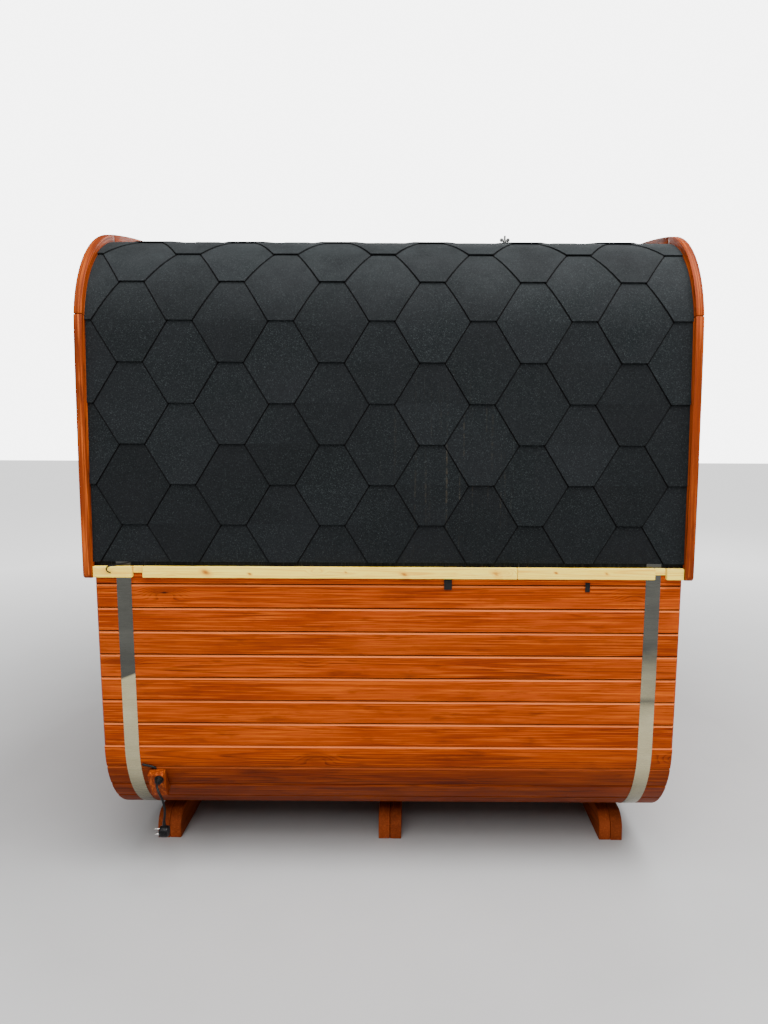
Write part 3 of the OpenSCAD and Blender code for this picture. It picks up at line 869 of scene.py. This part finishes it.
POST_FOOT = height_s(0.114)
FASCIA_PARTS = (
    ("near_post", -POST_FOOT, BEND_JOINT, 12),
    ("near_bend", BEND_JOINT, S_CORNER, 16),
    ("top", S_CORNER, 2 * S_CREST - S_CORNER, 24),
    ("far_bend", 2 * S_CREST - S_CORNER, 2 * S_CREST - BEND_JOINT, 16),
    ("far_post", 2 * S_CREST - BEND_JOINT, 2 * S_CREST + POST_FOOT, 12),
)
FASCIA_OUT = 0.031
FASCIA_IN = -0.065
FASCIA_JOINT = 0.0012
FASCIA_END_R = 0.017

for side in ("left", "right"):
    for part, s0, s1, rows in FASCIA_PARTS:
        node = f"fascia_{side}_{part}"
        lo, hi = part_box(node)
        o = flat_board(node + "_board", hi.x - lo.x, s1 - s0 - FASCIA_JOINT, FASCIA_OUT - FASCIA_IN, rows,
                       groove=0, edge=0)
        move(o, ((lo.x + hi.x) / 2, (s0 + s1) / 2, FASCIA_OUT))
        if part.endswith("post"):
            end = s0 if part == "near_post" else s1
            pick(o, "EDGE", lambda p: abs(p[1] - end) < 0.002 and p[2] > FASCIA_OUT - 0.001)
            active(o)
            edit("EDGE")
            bpy.ops.mesh.bevel(offset=FASCIA_END_R, offset_type="OFFSET", segments=6, affect="EDGES")
            done()
        bevel_all(o, 0.003, 2, 60)
        mark_board(o, axes=(1, 2, 0))
        smooth(wrap(o), 30)
        piece(o, "fascia_wood", FASCIA, node)


# Lengths of batten and the short fillers between them: start, end and thickness
BATTENS = ((-1.0, -0.867, 0.020), (-0.832, 0.437, 0.020), (0.437, 0.903, 0.020), (0.941, 1.0, 0.020))
FILLERS = ((-0.867, -0.832, 0.009), (0.903, 0.941, 0.009))
BATTEN_JOINT = 0.0015
FILLER_HEIGHT = 0.62


def batten(side, spans, name, upper=1.0):
    """Battens under the shingles, standing on the wall's face, or only the upper part of their height."""
    lo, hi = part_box(side + "_batten")
    tall = (hi.z - lo.z) * upper
    flip = 1 if side == "near" else -1
    made = []
    for x0, x1, thick in spans:
        o = flat_board("batten", x1 - x0 - BATTEN_JOINT, tall, thick, 1, groove=0, edge=0.0018)
        mark_board(o, pith=(draw.uniform(-30, 30), draw.uniform(-0.02, 0.02), draw.uniform(0.02, 0.05)))
        co = coords(o)
        x = co[:, 0] + (x0 + x1) / 2
        z = co[:, 1] + hi.z - tall / 2
        y = -flip * (HALF_W + thick + co[:, 2])
        set_coords(o, np.column_stack([x, y, z]))
        if flip < 0:
            flip_faces(o)
        made.append(o)
    return smooth(join(made, name), 30)


for side in ("near", "far"):
    piece(batten(side, BATTENS, side + "_batten_lengths"), "raw_wood", RAW, side + "_batten")
    piece(batten(side, FILLERS, side + "_batten_fillers", upper=FILLER_HEIGHT), "raw_wood", RAW)

# ---------------------------------------------------------------- ends, door and feet


def solid_copy(node, name, whole_faces=True):
    """A copy of a CAD node with its triangles merged, and joined back into whole faces where none has a hole."""
    o = copy_of(NODES[node], name)
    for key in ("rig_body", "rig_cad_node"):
        if key in o:
            del o[key]
    o.parent = None
    active(o)
    edit("VERT")
    bpy.ops.mesh.select_all(action="SELECT")
    bpy.ops.mesh.remove_doubles(threshold=0.00002)
    if whole_faces:
        bpy.ops.mesh.dissolve_limited(angle_limit=math.radians(0.5))
    done()
    return o


def slabs(source, axis, joints, gap, ease, grain_axes, name):
    """Cuts a solid into boards at the joints along an axis, eases every board's edges and gives it its grain."""
    lo = coords(source).min(0)[axis] - 1
    hi = coords(source).max(0)[axis] + 1
    bounds = [lo, *joints, hi]
    normal = [0, 0, 0]
    normal[axis] = 1
    made = []
    for a, b in zip(bounds, bounds[1:]):
        o = copy_of(source, name)
        for at, keep_below in ((a + gap / 2, False), (b - gap / 2, True)):
            point = [0, 0, 0]
            point[axis] = at
            cut(o, point, normal, keep_below)
        if not o.data.vertices:
            remove(o)
            continue
        bevel_all(o, ease, 1, 40)
        mark_board(o, grain_axes)
        made.append(o)
    remove(source)
    return smooth(join(made, name), 30)


END_BOARD = 0.095
PLANK_GAP = 0.0008


def end_joints(lo, hi):
    """Joints between the end wall's upright boards, which are laid out from the middle of the barrel."""
    first = math.ceil((lo + 0.02) / END_BOARD - 0.5)
    out = []
    k = first
    while (k + 0.5) * END_BOARD < hi - 0.02:
        out.append((k + 0.5) * END_BOARD)
        k += 1
    return out


for node in ("back_end_wall", "door_wall_near", "door_wall_far", "door_wall_head", "door_wall_sill"):
    lo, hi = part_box(node)
    o = slabs(solid_copy(node, node), 1, end_joints(lo.y, hi.y), PLANK_GAP, 0.0045, (2, 1, 0), node + "_boards")
    piece(o, "stained_wood", STAINED, node)

lo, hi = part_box("door_frame")
FRAME_RAIL = 0.040
o = slabs(solid_copy("door_frame", "frame"), 2, [lo.z + FRAME_RAIL, hi.z - FRAME_RAIL], 0.0006, 0.003, (2, 1, 0),
          "door_frame_boards")
piece(o, "stained_wood", STAINED, "door_frame")

lo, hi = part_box("door_leaf")
TRIM_T = 0.010
LEAF_BOARDS = 6
leaf = solid_copy("door_leaf", "leaf", whole_faces=False)
trim = copy_of(leaf, "door_light_trim")
TRIM_FOOT = hi.x - TRIM_T + 0.0002
cut(leaf, (TRIM_FOOT, 0, 0), (1, 0, 0))
cut(trim, (TRIM_FOOT, 0, 0), (1, 0, 0), keep_below=False)
leaf = slabs(leaf, 1, evenly(lo.y, hi.y, LEAF_BOARDS)[1:-1], PLANK_GAP, 0.004, (2, 1, 0), "door_leaf_boards")
piece(leaf, "stained_wood", STAINED, "door_leaf")
bevel_all(trim, 0.003, 2, 40)
mark_board(trim, (2, 1, 0))
piece(smooth(trim), "stained_wood", FASCIA)

handles = solid_copy("door_handles", "door_handle_bars")
bevel_all(handles, 0.005, 3, 40)
mark_board(handles, (2, 1, 0))
piece(smooth(handles), "raw_wood", RAW, "door_handles")

for node in ("foot_left", "foot_middle", "foot_right"):
    lo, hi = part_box(node)
    o = slabs(solid_copy(node, node), 0, [(lo.x + hi.x) / 2], 0.0012, 0.0025, (1, 2, 0), node + "_lamellae")
    piece(o, "foot_wood", FOOT, node)

block_piece = solid_copy("cable_block", "cable_block_wood")
bevel_all(block_piece, 0.002, 2, 40)
mark_board(block_piece, (2, 0, 1))
piece(smooth(block_piece), "stained_wood", FASCIA, "cable_block")

# ---------------------------------------------------------------- cord, plug and small parts

gland_lo, gland_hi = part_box("cable_gland")
GLAND_D = 0.032
GLAND_LEN = 0.020
GLAND_ANGLE = -19.5
GLAND_X = (gland_lo.x + gland_hi.x) / 2
BLOCK_T = 0.034
CORD_D = 0.008


def wall_point(x, degrees, off):
    """A point off the near wall at an angle above the horizontal, as the part's source gives it."""
    a = abs(math.radians(degrees))
    if a <= SIDE_END:
        s = SIDE_R * a
    elif a <= ROOF_START:
        s = S_SIDE + CORNER_R * (a - SIDE_END)
    else:
        s = S_CORNER + ROOF_R * (a - ROOF_START)
    y, z = on_outline(math.copysign(s, degrees), off)
    return Vector((x, float(y), float(z)))


def cable(name, points, diameter):
    """A round cable on a smooth line through the points."""
    curve = bpy.data.curves.new(name, "CURVE")
    curve.dimensions = "3D"
    line = curve.splines.new("BEZIER")
    line.bezier_points.add(len(points) - 1)
    for b, p in zip(line.bezier_points, points):
        b.co = p
        b.handle_left_type = b.handle_right_type = "AUTO"
    curve.bevel_depth = diameter / 2
    curve.bevel_resolution = 4
    curve.resolution_u = 5
    curve.use_fill_caps = True
    o = bpy.data.objects.new(name, curve)
    bpy.context.scene.collection.objects.link(o)
    curve.materials.append(RUBBER)
    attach(o, "root")
    return o


CORD = [(0, 0, 0), (1, -8.4, -3.2), (3.5, -15, -7.4), (7, -20.2, -12.6), (11, -24.4, -19), (15.5, -27, -26),
        (20, -28.6, -34), (24, -29, -43), (27, -29, -53), (29.5, -29, -63), (31, -29, -73), (32, -29, -83),
        (32, -29, -93), (31, -29, -103), (29.5, -29, -113), (28, -29, -123)]
gland_end = wall_point(GLAND_X, GLAND_ANGLE, BLOCK_T + GLAND_LEN)
cord_points = [gland_end + Vector(p) * MM for p in CORD]
power_cord = cable("power_cord_lead", cord_points, CORD_D)
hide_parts("power_cord")

FEED = [(-64.5, 6), (-54, 5.4), (-44, 5), (-35, 4.6), (-27, 4.1), (-21, 3.5), (-18.5, 2.85)]
FEED_OFF = 0.0043
feed = cable("feed_cable_lead", [wall_point(GLAND_X + a * MM, GLAND_ANGLE + b, FEED_OFF) for a, b in FEED], CORD_D)
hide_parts("feed_cable")

WIRE = [(-878, -5, -60.3), (-892, -6, -64), (-908, -8, -67.5), (-926, -13, -70.2), (-938, -18, -70.5),
        (-946, -22.2, -72), (-951, -22.6, -78), (-951, -22.6, -84.5), (-946, -22.6, -90), (-937, -22.6, -93.5)]
WIRE_D = 0.004
wire_points = [Vector((x * MM, y * MM - HALF_W, z * MM + MID_Z)) for x, y, z in WIRE]
wire = cable("eaves_wire_lead", wire_points, WIRE_D)
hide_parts("eaves_wire")


def gland():
    """Flange, hexagonal nut, domed cap and rubber sleeve, modelled upright and turned out of the wall."""
    flange = bevel_all(tube_solid("gland", GLAND_D / 2, 0.004, (0, 0, 0.002)), 0.0012)
    nut = bevel_all(tube_solid("gland", GLAND_D * 0.46, 0.007, (0, 0, 0.0072), sides=6), 0.0008)
    cap = tube_solid("gland", GLAND_D * 0.38, 0.0065, (0, 0, 0.0138), sides=24)
    bevel_all(cap, 0.003, 4)
    sleeve = bevel_all(tube_solid("gland", GLAND_D * 0.24, 0.006, (0, 0, 0.0168), sides=20), 0.001)
    o = join([flange, nut, cap, sleeve], "gland_body")
    seat = wall_point(GLAND_X, GLAND_ANGLE, BLOCK_T)
    turn = Matrix.Rotation(math.radians(90 - GLAND_ANGLE), 4, "X")
    o.data.transform(Matrix.Translation(seat) @ turn)
    return smooth(o, 35)


def plug():
    """Round two-pin plug: grip ribs round the body, a tapered sleeve on top and rounded pins to the left."""
    body_r, body_l = 0.020, 0.030
    core = bevel_all(tube_solid("plug", body_r * 0.94, body_l, turn=(0, math.pi / 2, 0), sides=40), 0.003, 3)
    ribs = []
    for i in range(4):
        rib = tube_solid("plug", body_r, 0.003, (-0.0045 + i * 0.0045, 0, 0), (0, math.pi / 2, 0), 40)
        ribs.append(bevel_all(rib, 0.0008, 2))
    bpy.ops.mesh.primitive_cone_add(radius1=0.0065, radius2=0.0048, depth=0.023, vertices=24,
                                    location=(0, 0, body_r + 0.0065))
    sleeve = bpy.context.active_object
    bpy.ops.object.transform_apply(location=True, rotation=True, scale=True)
    bevel_all(sleeve, 0.0008, 2)
    o = join([core, *ribs, sleeve], "plug_body")
    pins = []
    for z in (-0.0095, 0.0095):
        pin = tube_solid("pin", 0.0024, 0.019, (-body_l / 2 - 0.0085, 0, z), (0, math.pi / 2, 0), 20)
        pins.append(bevel_all(pin, 0.0012, 3))
    prongs = join(pins, "plug_pins")
    lo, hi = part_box("plug")
    at = Vector((hi.x - body_l / 2, (lo.y + hi.y) / 2, lo.z + body_r))
    for part in (o, prongs):
        move(part, at)
        smooth(part, 35)
    return o, prongs


piece(gland(), "black_rubber", RUBBER, "cable_gland")
plug_body, plug_pins = plug()
piece(plug_body, "black_plastic", PLASTIC, "plug")
piece(plug_pins, "zinc_steel", PIN)

SMALL_PARTS = (("wall_clips", "wall_clip_bodies", "black_plastic", PLASTIC),
               ("roof_bolt", "roof_bolt_parts", "zinc_steel", ZINC),
               ("door_hinges", "hinge_parts", "black_metal", HINGE))
for node, name, slot, material in SMALL_PARTS:
    o = solid_copy(node, name)
    bevel_all(o, 0.0008, 2, 40)
    smooth(o, 35)
    piece(o, slot, material, node)

pane = NODES["door_glass"]
pane.data.materials.clear()
pane.data.materials.append(GLASS)

# ---------------------------------------------------------------- floor, light and camera

bpy.ops.mesh.primitive_plane_add(size=60, location=(0, 0, 0))
ground = bpy.context.active_object
ground.name = "studio_floor"
paper = Shader("studio_paper", Roughness=0.9)
speck = paper.noise(paper.place(), 3.0, 2.0)
# the far floor glows a little, so that it meets the background softly
x, y, z = paper.split(paper.place())
reach = paper.math("SQRT", paper.math("ADD", paper.math("MULTIPLY", x, x), paper.math("MULTIPLY", y, y)))
glow = paper.math("MULTIPLY", paper.math("SUBTRACT", reach, 1.8), 0.22, clamp=True)
paper.bsdf.inputs["Emission Color"].default_value = (1, 1, 1, 1)
paper.put(paper.bsdf.inputs["Emission Strength"], paper.math("MULTIPLY", glow, 1.3))
ground.data.materials.append(paper.finish(paper.ramp(speck, (0.0, 0.44), (1.0, 0.48))))

# Soft light comes from the lamps; the pale sky that shows behind the object gives only a little of it
world = bpy.data.worlds.new("studio_sky")
bpy.context.scene.world = world
world.use_nodes = True
sky = world.node_tree
background = sky.nodes["Background"]
background.inputs[0].default_value = (1.0, 1.0, 1.0, 1)
seen = sky.nodes.new("ShaderNodeLightPath")
strength = sky.nodes.new("ShaderNodeMapRange")
strength.inputs["To Min"].default_value = 0.30
strength.inputs["To Max"].default_value = 6.0
sky.links.new(seen.outputs["Is Camera Ray"], strength.inputs["Value"])
sky.links.new(strength.outputs[0], background.inputs[1])


def area_light(name, at, to, size, power):
    lamp = bpy.data.lights.new(name, "AREA")
    lamp.shape = "RECTANGLE"
    lamp.size, lamp.size_y = size
    lamp.energy = power
    o = bpy.data.objects.new(name, lamp)
    bpy.context.scene.collection.objects.link(o)
    o.location = at
    o.rotation_euler = (Vector(to) - Vector(at)).to_track_quat("-Z", "Y").to_euler()
    return o


area_light("soft_overhead", (1.2, -2.6, 6.0), (0, -0.6, 1.2), (5, 4), 740)
area_light("soft_front", (-1.0, -6.5, 5.5), (0, -1.0, 1.2), (5, 3), 320)
area_light("soft_back", (1.5, 6.5, 5.0), (0, 0.8, 1.2), (6, 4), 420)

CAMERA_AT = Vector((0.07044, -3.62904, 1.62155))
FOCAL_PX = 743.9
YAW, PITCH_DOWN, ROLL = -0.00294, 0.11541, 0.00424
SHIFT_PX = 23.07
LONG_SIDE = 1024

cam = bpy.data.cameras.new("view")
cam.sensor_width = 36
cam.lens = FOCAL_PX / LONG_SIDE * 36
cam.shift_x = -SHIFT_PX / LONG_SIDE
camera = bpy.data.objects.new("view", cam)
bpy.context.scene.collection.objects.link(camera)
level_right = Vector((math.cos(YAW), -math.sin(YAW), 0))
level_front = Vector((math.sin(YAW), math.cos(YAW), 0))
forward = level_front * math.cos(PITCH_DOWN) - Vector((0, 0, math.sin(PITCH_DOWN)))
upward = level_front * math.sin(PITCH_DOWN) + Vector((0, 0, math.cos(PITCH_DOWN)))
right = level_right * math.cos(ROLL) + upward * math.sin(ROLL)
up = upward * math.cos(ROLL) - level_right * math.sin(ROLL)
camera.matrix_world = Matrix.Translation(CAMERA_AT) @ Matrix((right, up, -forward)).transposed().to_4x4()
bpy.context.scene.camera = camera
